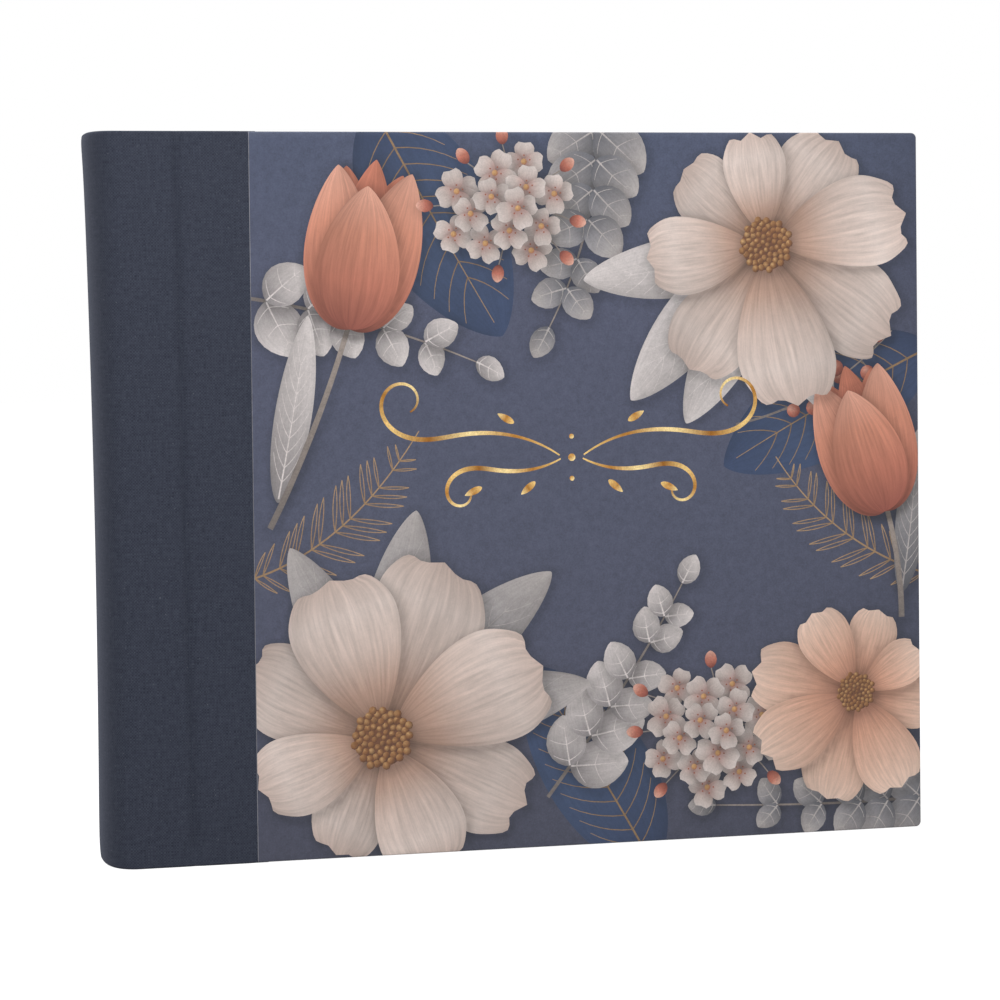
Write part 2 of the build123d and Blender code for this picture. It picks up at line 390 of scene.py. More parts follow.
# Index cards: a stiff card opens each section, with a rounded tab at the fore-edge in one of
# four muted colours. The tabs step down from head to tail, with two letters on both sides.
card_finish, card = start_finish("index_card")
card_place = card.node("ShaderNodeAttribute", {"attribute_name": "card"}, {}, "Vector")
card_xyz = card.node("ShaderNodeSeparateXYZ", {}, {0: card_place}, "X")
card_fibre = noise(card, card_place, 2.2, 4.0)
tab_paints = (0.42, 0.19, 0.12, 1), (0.27, 0.28, 0.30, 1), (0.60, 0.38, 0.27, 1), (0.07, 0.08, 0.13, 1)
tab_steps = [place / len(tab_paints) + 0.1 for place in range(len(tab_paints))]
tab_paint = ramp(card, card_xyz.other("Z"), *zip(tab_steps, tab_paints))
card_body = ramp(card, card_fibre, (0.3, (0.66, 0.60, 0.50, 1)), (0.7, (0.75, 0.70, 0.61, 1)))
card_colour = mixed(card, card_xyz > 0.0, card_body, tab_paint)
principled(card, {"Base Color": card_colour, "Roughness": 0.7})
letter_finish, letter = start_finish("tab_letter_ink")
principled(letter, {"Base Color": (0.80, 0.76, 0.68, 1), "Roughness": 0.6})


def inside(points, outline):
    """Which points lie in a closed outline, by its winding number."""
    here, there = outline, np.roll(outline, -1, axis=0)
    right, rise = points[:, :1], points[:, 1:]
    side = (there[:, 0] - here[:, 0]) * (rise - here[:, 1])
    side = side - (right - here[:, 0]) * (there[:, 1] - here[:, 1])
    rising = (here[:, 1] <= rise) & (there[:, 1] > rise) & (side > 0)
    falling = (here[:, 1] > rise) & (there[:, 1] <= rise) & (side < 0)
    return rising.sum(axis=1) != falling.sum(axis=1)


def triangulate(outlines, lines, points, weld):
    """Delaunay triangles over points, with every outline and line kept as edges, near points welded."""
    spots, edges = [], []
    for path, closed in [(path, True) for path in outlines] + [(path, False) for path in lines]:
        start = len(spots)
        spots.extend(path)
        edges += [(start + step, start + step + 1) for step in range(len(path) - 1)]
        if closed:
            edges.append((start + len(path) - 1, start))
    spots.extend(points)
    flat = delaunay_2d_cdt([Vector(spot) for spot in spots], edges, [], 0, weld)
    return np.array([tuple(spot) for spot in flat[0]]), [tuple(face) for face in flat[2]]


def rounded(middle, radius, start, stop, steps=6):
    """Points along an arc, in degrees."""
    turn = np.radians(np.linspace(start, stop, steps))
    return [(middle[0] + radius * math.cos(t), middle[1] + radius * math.sin(t)) for t in turn]


tab_radius = 2.0 * mm
leaf_end_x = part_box("address_leaves_" + tab_letters[0])[1].x
tab_pitch = (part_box("front_flyleaf")[1].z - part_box("front_flyleaf")[0].z) / len(tab_letters)
tab_height = tab_pitch - 0.6 * mm
card_weld, letter_weld = 0.01 * mm, 0.001 * mm
hair = 0.001 * mm
turned_up = Matrix.Rotation(math.radians(90), 4, "X") @ Matrix.Rotation(math.radians(-90), 4, "Z")
for place, letters in enumerate(tab_letters):
    low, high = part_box("index_card_" + letters)
    tab_middle = high.z - (place + 0.5) * tab_pitch
    tab_low, tab_high = tab_middle - tab_height / 2, tab_middle + tab_height / 2
    tab_x = high.x - tab_radius
    outline = [(margin_x, low.z), (leaf_end_x, low.z), (leaf_end_x, tab_low)]
    outline += rounded((tab_x, tab_low + tab_radius), tab_radius, -90, 0)
    outline += rounded((tab_x, tab_high - tab_radius), tab_radius, 0, 90)
    outline += [(leaf_end_x, tab_high), (leaf_end_x, high.z), (margin_x, high.z)]
    folds = [[(x, low.z), (x, high.z)] for x in bend_xs[1:]]
    folds.append([(leaf_end_x, tab_low), (leaf_end_x, tab_high)])
    spots, faces = triangulate([outline], folds, [], card_weld)
    middles = spots[np.array(faces)].mean(axis=1)
    faces = [face for face, keep in zip(faces, inside(middles, np.array(outline))) if keep]
    front = np.array([(x, low.y, z) for x, z in spots])
    back = np.array([(x, high.y, z) for x, z in spots])
    index_card = thin_solid("tabbed_card_" + letters, front, back, faces, card_finish)
    paint_step = np.full(len(spots), tab_steps[place % len(tab_steps)])
    beyond = (spots[:, 0] - leaf_end_x - hair) / mm
    mark(index_card, "card", np.stack([beyond, spots[:, 1] / mm, paint_step], axis=1))
    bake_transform(index_card)
    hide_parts("index_card_" + letters)

    text = bpy.data.curves.new("tab_letters", "FONT")
    text.body = " ".join(letters.upper())
    text.size = 5.2 * mm
    text.extrude = 0.015 * mm
    text.resolution_u = 4
    text.align_x = "CENTER"
    text.align_y = "CENTER"
    text_object = add_object("tab_letters", text)
    bpy.context.view_layer.update()
    drawn_text = text_object.evaluated_get(bpy.context.view_layer.depsgraph)
    letter_mesh = bpy.data.meshes.new_from_object(drawn_text)
    bpy.data.objects.remove(text_object)
    both_sides = bmesh.new()
    for turn, y in ((0, low.y - text.extrude), (180, high.y + text.extrude)):
        one_side = letter_mesh.copy()
        tab_place = Matrix.Translation(((leaf_end_x + high.x) / 2, y, tab_middle))
        one_side.transform(tab_place @ Matrix.Rotation(math.radians(turn), 4, "Z") @ turned_up)
        both_sides.from_mesh(one_side)
    bmesh.ops.remove_doubles(both_sides, verts=both_sides.verts, dist=letter_weld)
    both_sides.to_mesh(letter_mesh)
    both_sides.free()
    letter_mesh.materials.clear()
    letter_mesh.materials.append(letter_finish)
    letter_piece = add_object("letters_" + letters, letter_mesh)
    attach(letter_piece, "section_" + letters)

# Flyleaves: one plain leaf of heavier paper at each end of the block, clamped with the rest.
# They keep the first card and the last leaf clean.
fly_finish, fly = start_finish("flyleaf_paper")
fly_fibre = noise(fly, fly.node("ShaderNodeTexCoord", output="Object"), 1600.0, 5.0)
fly_colour = ramp(fly, fly_fibre, (0.3, (0.70, 0.64, 0.55, 1)), (0.7, (0.80, 0.75, 0.66, 1)))
principled(fly, {"Base Color": fly_colour, "Roughness": 0.85})
for side in ("front", "back"):
    low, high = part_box(side + "_flyleaf")
    xs = bend_xs + [high.x]
    flyleaf = thin_solid(
        "plain_leaf_" + side,
        leaf_points(xs, low.y, low.z, high.z),
        leaf_points(xs, high.y, low.z, high.z),
        grid_faces(2, len(xs)),
        fly_finish,
    )
    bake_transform(flyleaf)
    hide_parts(side + "_flyleaf")

# Spine lining: a strip of flexible card glued inside the cloth, which keeps the rounded spine
# in shape. It gives a little, so the spine is slimmer at mid-height and fuller at the head.
half_depth = -cad_box[0].y
book_height = cad_box[1].z
spine_x = cad_box[0].x
corner_x, strip_end_x = (corner.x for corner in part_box("front_hinge_strip"))
board_start_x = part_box("front_board")[0].x
spine_squareness = 2.5
spine_turn = np.linspace(0, math.pi / 2, 28, endpoint=False)
spine_out = np.cos(spine_turn) ** (2 / spine_squareness)
spine_aside = np.sin(spine_turn) ** (2 / spine_squareness)
spine_path = np.stack([corner_x - (corner_x - spine_x) * spine_out, -half_depth * spine_aside], axis=1)
spine_draw = spine_out**2


def inward(path):
    """Unit normals of a plan path from the spine to the fore-edge, pointing into the book."""
    along = np.gradient(path, axis=0)
    along /= np.linalg.norm(along, axis=1)[:, None]
    return np.stack([-along[:, 1], along[:, 0]], axis=1)


def drawn_in(rise):
    """How far the spine is drawn in at a height: a waist, a flared head and worn edges."""
    waist = 0.85 * mm * (1 - np.abs(2 * rise / book_height - 1) ** 1.8)
    lean = 0.24 * mm * (1 - 2 * rise / book_height)
    flare = 0.45 * mm * np.exp((rise - book_height) / (6 * mm))
    wear = 0.45 * mm * np.exp(-rise / (2.5 * mm)) + 0.5 * mm * np.exp((rise - book_height) / (1 * mm))
    return waist + lean - flare + wear


def eased(share):
    """A share from nought to one, eased at both ends."""
    share = np.clip(share, 0, 1)
    return share**2 * (3 - 2 * share)


cap_height, cap_run = 0.3 * mm, 14 * mm


def capped(rise):
    """How much higher the middle of the spine stands at a height: a low cap at the head."""
    return cap_height * eased((rise - book_height + cap_run) / cap_run)


lining_finish, lining_card = start_finish("spine_card")
lining_fibre = noise(lining_card, lining_card.node("ShaderNodeTexCoord", output="Object"), 1500.0, 5.0)
lining_colour = ramp(lining_card, lining_fibre, (0.3, (0.33, 0.25, 0.17, 1)), (0.7, (0.45, 0.35, 0.25, 1)))
principled(lining_card, {"Base Color": lining_colour, "Roughness": 0.9})
cloth_thickness = 0.3 * mm
lining_low, lining_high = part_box("spine_lining")
lining_depth = cloth_thickness + 0.1 * mm
lining_thickness = 0.7 * mm
lining_end = 18
half_plan = spine_path[:lining_end]
half_normal = inward(half_plan)
half_normal[0] = (1, 0)
half_draw = spine_draw[:lining_end]
mirror = np.array([1, -1])
lining_plan = np.concatenate([half_plan[:0:-1] * mirror, half_plan])
lining_normal = np.concatenate([half_normal[:0:-1] * mirror, half_normal])
lining_draw = np.concatenate([half_draw[:0:-1], half_draw])
lining_clear = 1 * mm
lining_rises = np.linspace(lining_low.z + lining_clear, lining_high.z - lining_clear, 25)
lining_sides = []
for depth in (lining_depth, lining_depth + lining_thickness):
    rows = []
    for rise in lining_rises:
        plan = lining_plan + lining_normal * (depth + drawn_in(rise) * lining_draw)[:, None]
        rows.append(np.column_stack([plan, rise + capped(rise) * lining_draw]))
    lining_sides.append(np.concatenate(rows))
lining_faces = grid_faces(len(lining_rises), len(lining_plan))
spine_card = thin_solid("spine_card", *lining_sides, lining_faces, lining_finish)
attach(spine_card, "binding")
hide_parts("spine_lining")

# Quarter cloth: navy book cloth glued round the spine, over the hinge strips and on to the
# boards, and folded in at head and tail. It is rubbed down into a soft groove at each joint,
# where each half of it bends with its cover, and the printed paper laps over its edge.
cloth_finish, weave = start_finish("navy_book_cloth")
cloth_place = weave.node("ShaderNodeAttribute", {"attribute_name": "cloth"}, {}, "Vector")
cloth_along = weave.node("ShaderNodeSeparateXYZ", {}, {0: cloth_place}, "X")
cloth_up = cloth_along.other("Y")
thread_turn = 2 * math.pi / 0.72
slub_wander = 9.0


def slubs(stretch):
    """Uneven thickness of the threads that run one way, drawn out along them."""
    place = weave.node("ShaderNodeVectorMath", {"operation": "MULTIPLY"}, {0: cloth_place, 1: stretch})
    return noise(weave, place, 1.0, 3.0)


warp_slubs, weft_slubs = slubs((2.2, 0.16, 1)), slubs((0.16, 2.2, 1))
warp = weave.math("SINE", thread_turn * cloth_along + slub_wander * warp_slubs)
weft = weave.math("SINE", thread_turn * cloth_up + slub_wander * weft_slubs)
crossings = 0.5 + 0.5 * warp * weft
cloth_mottle = noise(weave, cloth_place, 0.9, 5.0)
threads = 0.26 * crossings + 0.2 * warp_slubs + 0.2 * weft_slubs + 0.34 * cloth_mottle
cloth_tones = (0.25, (0.0255, 0.0305, 0.0465, 1)), (0.75, (0.071, 0.079, 0.1095, 1))
# The cloth is darker towards the tail: this height term is painted shade, from light falling from above,
# added to the weave and mottle.
threads_and_painted_shade = threads - 0.07 + 0.0003 * cloth_up
lint = 0.35 * (noise(weave, cloth_place, 1.6, 1.0) > 0.755)
cloth_ink = mixed(weave, lint, ramp(weave, threads_and_painted_shade, *cloth_tones), (0.20, 0.21, 0.24, 1))
cloth_bumps = {"Strength": 0.5, "Distance": 0.06 * mm, "Height": threads}
cloth_relief = weave.node("ShaderNodeBump", {}, cloth_bumps, "Normal")
principled(
    weave,
    {
        "Base Color": cloth_ink,
        "Roughness": 0.9,
        "Normal": cloth_relief,
        "Specular IOR Level": 0.12,
        "Sheen Weight": 0.08,
        "Sheen Roughness": 0.5,
        "Sheen Tint": (0.62, 0.66, 0.85, 1),
    },
)

crease_x = frame["joints"][0]["pos_m"][0]
lap = 2.5 * mm
lap_sink = 0.2 * mm
lap_room = 0.36 * mm
fold_radius = 0.45 * mm
near_seam_x = seam_x - 3 * mm
face_xs = np.concatenate(
    [
        np.linspace(corner_x, strip_end_x, 9, endpoint=False),
        np.linspace(strip_end_x, board_start_x, 25, endpoint=False),
        np.linspace(board_start_x, near_seam_x, 8, endpoint=False),
        np.linspace(near_seam_x, seam_x + lap, 12),
    ]
)
face_path = np.stack([face_xs, np.full(len(face_xs), -half_depth)], axis=1)
cloth_path = np.concatenate([spine_path, face_path])
cloth_normal = inward(cloth_path)
cloth_normal[0] = (1, 0)
cloth_draw = np.concatenate([spine_draw, np.zeros(len(face_xs))])
cloth_run = np.concatenate([[0], np.cumsum(np.linalg.norm(np.diff(cloth_path, axis=0), axis=1))])
off_face = np.zeros(len(spine_path))
to_lap = np.clip((face_xs - seam_x + lap) / lap, 0, 1)
cloth_sink = np.concatenate([off_face, lap_sink * eased(to_lap)])
cloth_thick = np.minimum(cloth_thickness, lap_room - np.concatenate([off_face, lap_sink * to_lap]))
strip_wrap, spine_wrap, gap_wrap = 3.17 * mm, 1.47 * mm, 1.6 * mm
past_corner = cloth_run - cloth_run[len(spine_path)]
strip_run, gap_run = strip_end_x - corner_x, board_start_x - corner_x
hug, ease = 0.15 * mm, 1.1 * mm
cloth_wrap = np.interp(
    past_corner,
    [-ease, -hug, strip_run + hug, strip_run + ease, gap_run - ease, gap_run - hug],
    [spine_wrap, strip_wrap, strip_wrap, gap_wrap, gap_wrap, strip_wrap],
)
board_turn_in, strip_turn_in, mean_turn_in = 4.3 * mm, 3.2 * mm, 3.5 * mm
cloth_turn_in = np.where(cloth_path[:, 0] > crease_x, board_turn_in, strip_turn_in)

fold = [(math.cos(bend), math.sin(bend)) for bend in np.radians(np.linspace(0, 90, 6))]
edge_rows = [(1.0, 0.0, None, -1.0, 0.0)]
edge_rows += [(1.0, flat - 1, 1 - steep, -flat, steep) for flat, steep in fold]
edge_rows += [(0.0, 1 - steep, 1 - flat, steep, flat) for flat, steep in fold]
row_share = 0.5 - 0.5 * np.cos(np.linspace(0, math.pi, 47))[1:-1]
face_rises = fold_radius + (book_height - 2 * fold_radius) * row_share
cloth_outer, cloth_inner, cloth_marks = [], [], []
groove_depth, groove_width, groove_lean = 0.95 * mm, 1.0 * mm, 1.3 * mm


def groove(rise):
    """How far the cloth sinks into the joint: most along the crease, less at head and tail."""
    aside = cloth_path[:, 0] - crease_x
    from_crease = np.abs(aside + 0.05 * mm + groove_lean * (rise / book_height - 0.5))
    deep = groove_depth * (0.3 + 0.7 * eased(np.minimum(rise, book_height - rise) / (5 * mm)))
    in_gap = 1 - np.clip(np.abs(aside) / (crease_x - strip_end_x), 0, 1) ** 4
    return deep * np.exp(-((from_crease / groove_width) ** 1.3)) * in_gap


def add_cloth_row(depth, rise, into, upward, shift):
    """One row of points along the cloth and the row behind it, at the cloth's thickness."""
    sink = depth + (cloth_sink + groove(rise)) * (1 - depth / cloth_wrap) + drawn_in(rise) * cloth_draw
    for rows, thick in ((cloth_outer, 0), (cloth_inner, cloth_thick)):
        plan = cloth_path + cloth_normal * (sink + into * thick)[:, None]
        rows.append(np.column_stack([plan, rise + upward * thick + capped(rise) * cloth_draw]))
    cloth_marks.append(np.column_stack([cloth_run, rise + shift, np.zeros(len(cloth_run))]) / mm)


def add_cloth_edge(rows, from_head):
    """The fold at the tail, or at the head, with its turn-in."""
    for wrapped, drop, climb, into, upward in rows:
        depth = wrapped * cloth_wrap + drop * fold_radius
        rise = cloth_turn_in if climb is None else np.full(len(cloth_run), climb * fold_radius)
        if from_head:
            add_cloth_row(depth, book_height - rise, into, -upward, depth)
        else:
            add_cloth_row(depth, rise, into, upward, -depth)


add_cloth_edge(edge_rows, False)
for rise in face_rises:
    add_cloth_row(np.zeros(len(cloth_run)), np.full(len(cloth_run), rise), 1.0, 0.0, 0.0)
add_cloth_edge(edge_rows[::-1], True)
cloth_faces = grid_faces(len(cloth_outer), len(cloth_run))
for side, way in (("front", 1), ("back", -1)):
    facing = np.array([1, way, 1])
    quarter_cloth = thin_solid(
        side + "_quarter_cloth",
        np.concatenate(cloth_outer) * facing,
        np.concatenate(cloth_inner) * facing,
        cloth_faces,
        cloth_finish,
    )
    mark(quarter_cloth, "cloth", np.concatenate(cloth_marks))
    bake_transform(quarter_cloth)
    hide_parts("spine_cloth", side + "_joint_cloth")

# Joint linings: a strip of the same cloth glued inside each joint, from the hinge strip to
# the board. It sinks into the gap between them, so that the cover opens freely.
lining_dip, lining_slack = 0.7 * mm, 1 * mm
for side, way in (("front", 1), ("back", -1)):
    strip_low, strip_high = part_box(side + "_strip_lining")
    lining_end_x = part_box(side + "_board_lining")[1].x
    lining_xs = np.concatenate(
        [
            [strip_low.x],
            np.linspace(strip_end_x, board_start_x, 21),
            np.linspace(board_start_x, lining_end_x, 4)[1:],
        ]
    )
    in_gap = np.clip((lining_xs - strip_end_x) / (board_start_x - strip_end_x), 0, 1)
    inner_ys = max(strip_low.y * way, strip_high.y * way) - lining_dip * np.sin(math.pi * in_gap) ** 2
    rises = np.linspace(strip_low.z, strip_high.z, 9)
    sides = []
    for thick in (0, cloth_thickness):
        plan = list(zip(lining_xs, way * (inner_ys - thick)))
        sides.append(np.array([(x, y, z) for z in rises for x, y in plan]))
    lining_faces = grid_faces(len(rises), len(lining_xs))
    joint_lining = thin_solid(side + "_joint_lining", *sides, lining_faces, cloth_finish)
    mark(joint_lining, "cloth", sides[0][:, [0, 2, 1]] / mm)
    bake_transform(joint_lining)
    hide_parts(side + "_strip_lining", side + "_board_lining")


# Cover papers: matt laminated paper, printed with garden flowers on navy, laps over the cloth
# and turns in round three edges of each board. A scroll stamped in gold foil fills the middle
# of the front. The shapes of the print are cut into the sheet, so each has its own ink.
def inks(*tones):
    """A run of inks as linear light, from their 8-bit colours."""
    share = np.array(tones) / 255
    return list(np.where(share <= 0.04045, share / 12.92, ((share + 0.055) / 1.055) ** 2.4))


def blend_tones(tones, run):
    """Ink at each share of the way along a run of tones."""
    stops = np.linspace(0, 1, len(tones))
    return np.stack([np.interp(run, stops, [tone[part] for tone in tones]) for part in range(3)], axis=1)


# The ground's navy darkens towards the foot: painted shade, from light falling from above. Its darker,
# bluer top stop is print.
ground_inks_with_foot_shade = inks((71, 73, 88), (77, 80, 98), (79, 83, 102), (79, 83, 103), (75, 82, 104))
cream_inks = inks((126, 94, 78), (180, 149, 133), (208, 188, 178), (218, 202, 194), (199, 178, 168))
blush_inks = inks((152, 103, 84), (205, 156, 133), (222, 184, 164), (228, 201, 185))
rust_inks = inks((138, 80, 69), (180, 114, 95), (200, 136, 113), (212, 159, 139))
rust_dark_inks = inks((118, 66, 58), (164, 95, 79), (190, 121, 99))
grey_inks = inks((136, 131, 132), (185, 178, 177), (212, 204, 202))
grey_dark_inks = inks((100, 101, 108), (144, 141, 143), (177, 170, 168))
white_inks = inks((186, 142, 134), (204, 188, 182), (218, 207, 202))
stem_inks = inks((120, 112, 108), (160, 148, 140))
shade_inks = inks((52, 63, 89), (62, 76, 103), (56, 69, 97))
gold_inks = inks((150, 122, 92), (178, 148, 112))
heart_inks = inks((120, 82, 60), (92, 62, 52))
seed_inks = inks((206, 168, 118), (140, 96, 62), (84, 58, 48))
berry_inks = inks((224, 176, 158), (186, 112, 94), (120, 66, 60))
honey_inks = inks((214, 176, 120), (160, 104, 78))
dot_inks = inks((150, 88, 70), (150, 88, 70))
# Gold foil: its lighter and darker stops are painted highlights and reflections on the metal.
foil_inks_and_highlights = inks((236, 200, 132), (176, 122, 58), (246, 220, 160), (150, 98, 44))

rim_dim = 0.10
shadow_fall, shadow_reach, shadow_depth = np.array([0.5, -0.7]), 2.6, 0.42


class Motif:
    """One printed shape: its outline, and the place along and across it of any point."""

    def __init__(self, outline, locate, tones, streak=0.0, cross_light=0.0, casts=0.0, foil=0.0):
        self.outline = np.array(outline)
        self.locate = locate
        self.tones = tones
        self.streak = streak
        self.cross_light = cross_light
        self.casts = casts
        self.foil = foil

    def ink(self, points):
        """Colour at points of the shape, and its share of foil."""
        along, across = self.locate(points)
        light = 1 + self.cross_light * across - rim_dim * across**4
        colour = blend_tones(self.tones, along) * light[:, None]
        return np.column_stack([colour, np.full(len(points), self.foil)])

    def grain(self, points, seed):
        """Where the brush strokes of the shape run, and how much they show."""
        along, across = self.locate(points)
        count = len(points)
        return np.column_stack([along, across, np.full(count, seed), np.full(count, self.streak)])

    def shadow(self, points):
        """How much light is left at points beside the shape, on the print below it."""
        ends = np.roll(self.outline, -1, axis=0)
        share = np.linspace(0, 1, 3, endpoint=False)[:, None, None]
        rim = (self.outline + share * (ends - self.outline)).reshape(-1, 2) + shadow_fall
        gap = np.linalg.norm(points[:, None] - rim[None], axis=2).min(axis=1)
        return 1 - shadow_depth * self.casts * np.clip(1 - gap / shadow_reach, 0, 1) ** 1.5


def toward(aim, reach=1.0):
    """A step of some reach at an angle, or a row of steps."""
    return np.stack([reach * np.cos(aim), reach * np.sin(aim)], axis=-1)


def half_width(run, width, swell, taper):
    """Half the width of a petal or leaf, which is widest where swell and taper balance."""
    run = np.clip(run, 0, 1)
    peak = swell / (swell + taper)
    return width / 2 * (run / peak) ** swell * ((1 - run) / (1 - peak)) ** taper


def petal(base, aim, length, width, tones, swell=0.9, taper=0.4, bend=0.0, notch=0.0, lobes=3, **looks):
    """A petal or leaf from its base along its aim, with a lobed tip if it has a notch."""
    base = np.array(base)
    forth, aside = toward(aim), toward(aim + math.pi / 2)
    steps = int(np.clip(length / 1.1, 9, 32))
    run = 0.5 - 0.5 * np.cos(np.linspace(0, math.pi, steps))
    run = np.concatenate([run, run[-2:0:-1]])
    offset = half_width(run, width, swell, taper) * np.where(np.arange(len(run)) < steps, 1, -1)
    phase = lobes * math.pi * offset / (width / 2) + (math.pi if lobes % 2 == 0 else 0)
    reach = run * (1 - notch * (0.5 - 0.5 * np.cos(phase)) * np.clip((run - 0.6) / 0.4, 0, 1))
    outline = base + length * reach[:, None] * forth + (offset + bend * length * run**2)[:, None] * aside

    def locate(points):
        along = (points - base) @ forth / length
        room = np.maximum(half_width(along, width, swell, taper), 0.08 * width)
        across = ((points - base) @ aside - bend * length * along**2) / room
        return np.clip(along, 0, 1), np.clip(across, -1, 1)

    return Motif(outline, locate, tones, **looks)


def curve(start, control, stop, steps=24):
    """Points along a quadratic curve."""
    share = np.linspace(0, 1, steps)[:, None]
    start, control, stop = np.array(start), np.array(control), np.array(stop)
    return (1 - share) ** 2 * start + 2 * share * (1 - share) * control + share**2 * stop


def stroke(path, widths, tones, **looks):
    """A drawn line along a path, as wide at each share of it as the widths say."""
    path = np.array(path)
    share = np.linspace(0, 1, len(path))
    width = np.interp(share, np.linspace(0, 1, len(widths)), widths)
    way = np.gradient(path, axis=0)
    way /= np.linalg.norm(way, axis=1)[:, None]
    aside = np.stack([-way[:, 1], way[:, 0]], axis=1) * width[:, None] / 2
    outline = np.concatenate([path + aside, (path - aside)[::-1]])

    def locate(points):
        near = np.linalg.norm(points[:, None] - path[None], axis=2).argmin(axis=1)
        across = ((points - path[near]) * aside[near]).sum(axis=1) / (width[near] / 2) ** 2
        return share[near], np.clip(across, -1, 1)

    return Motif(outline, locate, tones, **looks)


def disc(middle, radius, tones, sides=10, **looks):
    """A round dot or berry, lit from the upper left."""
    middle = np.array(middle)
    outline = middle + toward(np.linspace(0, 2 * math.pi, sides, endpoint=False), radius)

    def locate(points):
        glow = np.linalg.norm(points - middle - radius * np.array([-0.35, 0.35]), axis=1) / (1.5 * radius)
        return np.clip(glow, 0, 1), np.zeros(len(points))

    return Motif(outline, locate, tones, **looks)


golden_turn = math.pi * (3 - math.sqrt(5))


def cosmos(middle, radius, turn, lean, tones, luck):
    """An open flower of eight toothed petals, four over four, round a domed heart of stamens."""
    middle = np.array(middle)
    shapes = []
    for order in (1, 3, 5, 7, 0, 2, 4, 6):
        aim = turn + order * math.pi / 4 + luck.uniform(-0.07, 0.07)
        length = radius * (1 - 0.16 * (1 + math.cos(aim - lean))) * luck.uniform(0.95, 1.04)
        dim = luck.uniform(0.84, 0.95) if order % 2 else luck.uniform(0.95, 1.06)
        shapes.append(
            petal(
                middle + toward(aim, 0.06 * radius),
                aim,
                length,
                0.66 * length * luck.uniform(0.94, 1.1),
                [tone * dim for tone in tones],
                swell=0.85,
                taper=0.36,
                bend=luck.uniform(-0.09, 0.09),
                notch=luck.uniform(0.035, 0.075),
                streak=0.55,
                cross_light=luck.choice([-1, 1]) * luck.uniform(0.06, 0.14),
                casts=1.0,
            )
        )
    shapes.append(disc(middle, 0.165 * radius, heart_inks, 22, casts=0.8))
    seeds = 64
    for seed in range(seeds):
        out = 0.172 * math.sqrt((seed + 0.3) / seeds)
        place = middle + toward(golden_turn * seed, radius * out)
        shapes.append(disc(place, (0.016 + 0.05 * out) * radius, seed_inks, 8))
    return shapes


def tulip(base, aim, size, luck):
    """A half-open cup of pointed petals from the side: three behind, then three in front."""
    behind = ((-0.20, 0.95, 0.40, 0.02), (0.20, 0.95, 0.40, -0.02), (0.0, 1.0, 0.36, 0.0))
    in_front = ((-0.36, 0.97, 0.44, 0.13), (0.36, 0.95, 0.44, -0.13), (0.03, 0.84, 0.50, 0.0))
    shapes = []
    for order, (spread, length, width, bend) in enumerate(behind + in_front):
        tones = rust_dark_inks if order < len(behind) else rust_inks
        shapes.append(
            petal(
                base,
                aim + spread,
                size * length,
                size * width,
                [tone * luck.uniform(0.92, 1.06) for tone in tones],
                swell=0.5,
                taper=0.78,
                bend=bend,
                streak=0.6,
                cross_light=0.16 * (-1) ** order,
                casts=1.0,
            )
        )
    return shapes


leaf_form = {"swell": 0.62, "taper": 0.72}


def ribs(base, aim, length, width, bend, veins, weight, tones):
    """The midrib of a leaf and pairs of side veins, in fine lines."""
    forth, aside = toward(aim), toward(aim + math.pi / 2)

    def on_leaf(run, out=0.0):
        return np.array(base) + length * run * forth + (bend * length * run**2 + out) * aside

    midrib = [on_leaf(run) for run in np.linspace(0.02, 0.94, 10)]
    shapes = [stroke(midrib, [weight, 0.3 * weight], tones)]
    for share in np.linspace(0.11, 0.74, veins):
        for way in (-1, 1):
            span = 0.82 * way * half_width(share + 0.15, width, **leaf_form)
            root, tip = on_leaf(share), on_leaf(share + 0.15, span)
            bow = (root + tip) / 2 + 0.11 * span * aside - 0.025 * length * forth
            shapes.append(stroke(curve(root, bow, tip, 6), [0.5 * weight, 0.25 * weight], tones))
    return shapes


def leaf(base, aim, length, width, tones, luck, veins=5):
    """A leaf with pale veins."""
    bend = luck.uniform(-0.12, 0.12)
    blade = petal(
        base,
        aim,
        length,
        width,
        [tone * luck.uniform(0.92, 1.05) for tone in tones],
        **leaf_form,
        bend=bend,
        streak=0.3,
        cross_light=luck.choice([-1, 1]) * luck.uniform(0.12, 0.22),
        casts=0.8,
    )
    return [blade] + ribs(base, aim, length, width, bend, veins, 0.42, [1.12 * tones[-1], 1.02 * tones[-1]])


def shade_leaf(base, aim, length, width, luck):
    """A broad leaf of a deeper navy with gold veins, behind the rest."""
    bend = luck.uniform(-0.1, 0.1)
    looks = {**leaf_form, "bend": bend, "streak": 0.35, "cross_light": 0.14}
    blade = petal(base, aim, length, width, shade_inks, **looks)
    return [blade] + ribs(base, aim, length, width, bend, 10, 0.55, [0.8 * tone for tone in gold_inks])


def sprig(path, pairs, size, tones, luck):
    """A stem with pairs of rounded leaves that grow smaller towards its tip."""
    path = np.array(path)
    shapes = [stroke(path, [0.9, 0.3], stem_inks, casts=0.5)]
    for pair in range(pairs):
        spot = int((0.14 + 0.84 * pair / pairs) * (len(path) - 1))
        way = path[spot + 1] - path[spot - 1]
        for side in (-1, 1):
            length = size * (1 - 0.5 * pair / pairs) * luck.uniform(0.88, 1.08)
            aim = math.atan2(way[1], way[0]) + side * luck.uniform(0.75, 1.05)
            shapes += leaf(path[spot], aim, length, 0.8 * length, tones, luck, 3)
    way = path[-1] - path[-3]
    return shapes + leaf(path[-1], math.atan2(way[1], way[0]), 0.55 * size, 0.4 * size, tones, luck, 3)


